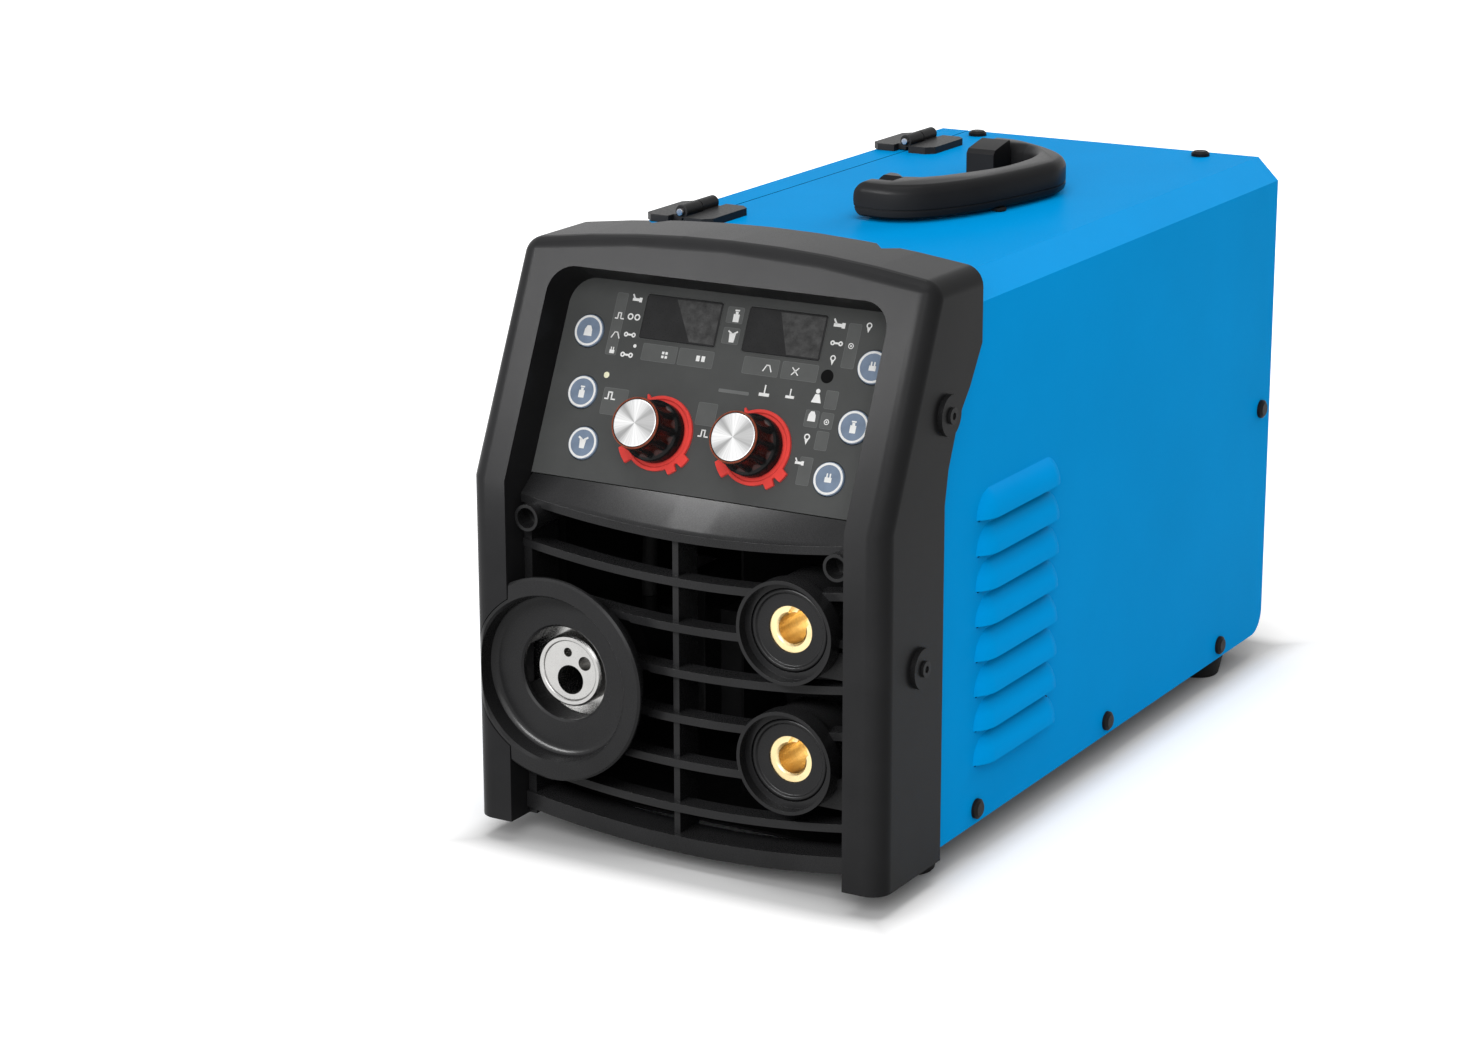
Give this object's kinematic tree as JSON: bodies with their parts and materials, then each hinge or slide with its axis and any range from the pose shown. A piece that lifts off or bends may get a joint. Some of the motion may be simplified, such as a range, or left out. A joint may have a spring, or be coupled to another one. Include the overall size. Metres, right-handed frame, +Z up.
{
  "type": "mig welding machine",
  "caption": "Portable inverter MIG welder: blue sheet-metal case with side door, black moulded front with knobs, displays, output sockets and torch connector, folding handle, wire feeder.",
  "frame": {"origin": "middle of the footprint, on the floor under the feet", "axes": "+X to the right as seen from the front, +Y to the rear, +Z up"},
  "size_m": [0.2128, 0.4404, 0.2805],
  "materials": {
    "blue_paint": "smooth semi-gloss powder coat",
    "black_sheet": "black powder-coated steel sheet",
    "zinc_sheet": "zinc-plated sheet",
    "black_moulding": "fine-textured black moulding",
    "black_satin": "satin black moulding",
    "panel_film": "dark grey printed film on the panel",
    "smoked_window": "smoked glossy window",
    "button_cap": "slate-blue translucent cap with a white ring",
    "red_ring": "red moulding",
    "brushed_cap": "spun radial brushing",
    "nickel": "polished nickel plate",
    "brass": "turned brass",
    "copper_bar": "bare copper bar",
    "circuit_board": "green solder mask with components",
    "aluminium": "extruded, bare",
    "steel": "turned steel",
    "copper_wire": "copper-coated steel welding wire",
    "dark_iron": "laminated core with a varnished winding",
    "rubber": "matte black rubber",
    "motor_grey": "grey painted motor and gearbox"
  },
  "bodies": {
    "machine": {"chassis_pan": "black_sheet", "centre_partition": "zinc_sheet", "cover": "blue_paint", "rear_panel": "black_sheet", "front_frame": "black_moulding", "front_grille": "black_satin", "control_panel": "panel_film", "display_windows": "smoked_window", "control_board": "circuit_board", "knob_rings": "red_ring", "torch_flange": "black_satin", "torch_connector": "nickel", "socket_housings": "black_satin", "socket_inserts": "brass", "feed_plate": "aluminium", "feed_motor": "motor_grey", "spool_spindle": "black_satin", "fan_frame": "black_satin", "fan_guard": "steel", "inverter_board": "circuit_board", "heat_sink": "aluminium", "transformer": "dark_iron", "output_choke": "copper_wire", "capacitors": "black_sheet", "output_links": "copper_bar", "gas_valve": "motor_grey", "gas_hose": "rubber", "gas_nipple": "brass", "mains_gland": "black_satin", "switch_housing": "black_satin", "hinge_leaves": "black_sheet", "pivot_pins": "steel", "handle_brackets": "black_moulding", "feet": "rubber", "case_screws": "black_sheet"},
    "side_door": {"side_door": "blue_paint", "door_leaves": "black_sheet"},
    "door_latch": {"door_latch": "black_satin"},
    "handle": {"handle": "black_moulding"},
    "left_knob": {"left_knob": "black_satin", "left_knob_cap": "brushed_cap"},
    "right_knob": {"right_knob": "black_satin", "right_knob_cap": "brushed_cap"},
    "drive_roll": {"drive_roll": "steel"},
    "pressure_arm": {"pressure_arm": "black_satin"},
    "pressure_roll": {"pressure_roll": "steel"},
    "tension_rod": {"tension_rod": "steel", "tension_spring": "steel"},
    "tension_knob": {"tension_knob": "red_ring"},
    "wire_spool": {"spool_hub": "black_satin", "wire_spool": "black_satin", "wound_wire": "copper_wire"},
    "fan_rotor": {"fan_rotor": "black_satin"},
    "switch_rocker": {"switch_rocker": "red_ring"},
    "button_1": {"button_1": "button_cap"},
    "button_2": {"button_2": "button_cap"},
    "button_3": {"button_3": "button_cap"},
    "button_4": {"button_4": "button_cap"},
    "button_5": {"button_5": "button_cap"},
    "button_6": {"button_6": "button_cap"}
  },
  "joints": [
    {"name": "door_hinge", "type": "hinge", "parent": "machine", "child": "side_door", "pos_m": [-0.0734, 0.03525, 0.2659], "axis": [0, 1, 0], "range_deg": [0, 110]},
    {"name": "door_latch_turn", "type": "hinge", "parent": "side_door", "child": "door_latch", "pos_m": [-0.1, 0.01635, 0.038], "axis": [-1, 0, 0], "range_deg": [0, 90]},
    {"name": "handle_fold", "type": "hinge", "parent": "machine", "child": "handle", "pos_m": [-0.0015, 0.029, 0.2702], "axis": [0, -1, 0], "range_deg": [0, 92]},
    {"name": "left_knob_turn", "type": "hinge", "parent": "machine", "child": "left_knob", "pos_m": [-0.0243, -0.18836, 0.18988], "axis": [0, -0.9063, 0.4226], "continuous": true},
    {"name": "right_knob_turn", "type": "hinge", "parent": "machine", "child": "right_knob", "pos_m": [0.0243, -0.18836, 0.18988], "axis": [0, -0.9063, 0.4226], "continuous": true},
    {"name": "drive_roll_spin", "type": "hinge", "parent": "machine", "child": "drive_roll", "pos_m": [-0.0625, -0.08625, 0.0606], "axis": [1, 0, 0], "continuous": true},
    {"name": "pressure_arm_lift", "type": "hinge", "parent": "machine", "child": "pressure_arm", "pos_m": [-0.049, -0.11725, 0.0986], "axis": [1, 0, 0], "range_deg": [0, 45]},
    {"name": "pressure_roll_spin", "type": "hinge", "parent": "pressure_arm", "child": "pressure_roll", "pos_m": [-0.0625, -0.08625, 0.0896], "axis": [1, 0, 0], "continuous": true},
    {"name": "tension_rod_swing", "type": "hinge", "parent": "machine", "child": "tension_rod", "pos_m": [-0.049, -0.05725, 0.0791], "axis": [1, 0, 0], "range_deg": [0, 30]},
    {"name": "tension_knob_turn", "type": "hinge", "parent": "tension_rod", "child": "tension_knob", "pos_m": [-0.049, -0.05725, 0.0791], "axis": [0, 0.5, 0.866], "continuous": true},
    {"name": "spool_spin", "type": "hinge", "parent": "machine", "child": "wire_spool", "pos_m": [-0.0505, 0.07875, 0.13], "axis": [1, 0, 0], "continuous": true},
    {"name": "fan_spin", "type": "hinge", "parent": "machine", "child": "fan_rotor", "pos_m": [0.046, 0.18375, 0.08], "axis": [0, 1, 0], "continuous": true},
    {"name": "power_switch", "type": "hinge", "parent": "machine", "child": "switch_rocker", "pos_m": [0.046, 0.19425, 0.214], "axis": [1, 0, 0], "range_deg": [-20, 0]},
    {"name": "button_1_press", "type": "slide", "parent": "machine", "child": "button_1", "axis": [0, 0.9063, -0.4226], "range_m": [0, 0.0008], "stiffness_N_per_m": 400},
    {"name": "button_2_press", "type": "slide", "parent": "machine", "child": "button_2", "axis": [0, 0.9063, -0.4226], "range_m": [0, 0.0008], "stiffness_N_per_m": 400},
    {"name": "button_3_press", "type": "slide", "parent": "machine", "child": "button_3", "axis": [0, 0.9063, -0.4226], "range_m": [0, 0.0008], "stiffness_N_per_m": 400},
    {"name": "button_4_press", "type": "slide", "parent": "machine", "child": "button_4", "axis": [0, 0.9063, -0.4226], "range_m": [0, 0.0008], "stiffness_N_per_m": 400},
    {"name": "button_5_press", "type": "slide", "parent": "machine", "child": "button_5", "axis": [0, 0.9063, -0.4226], "range_m": [0, 0.0008], "stiffness_N_per_m": 400},
    {"name": "button_6_press", "type": "slide", "parent": "machine", "child": "button_6", "axis": [0, 0.9063, -0.4226], "range_m": [0, 0.0008], "stiffness_N_per_m": 400}
  ],
  "couplings": [
    {"joint": "pressure_roll_spin", "follows": "drive_roll_spin", "ratio": -1.1538}
  ]
}
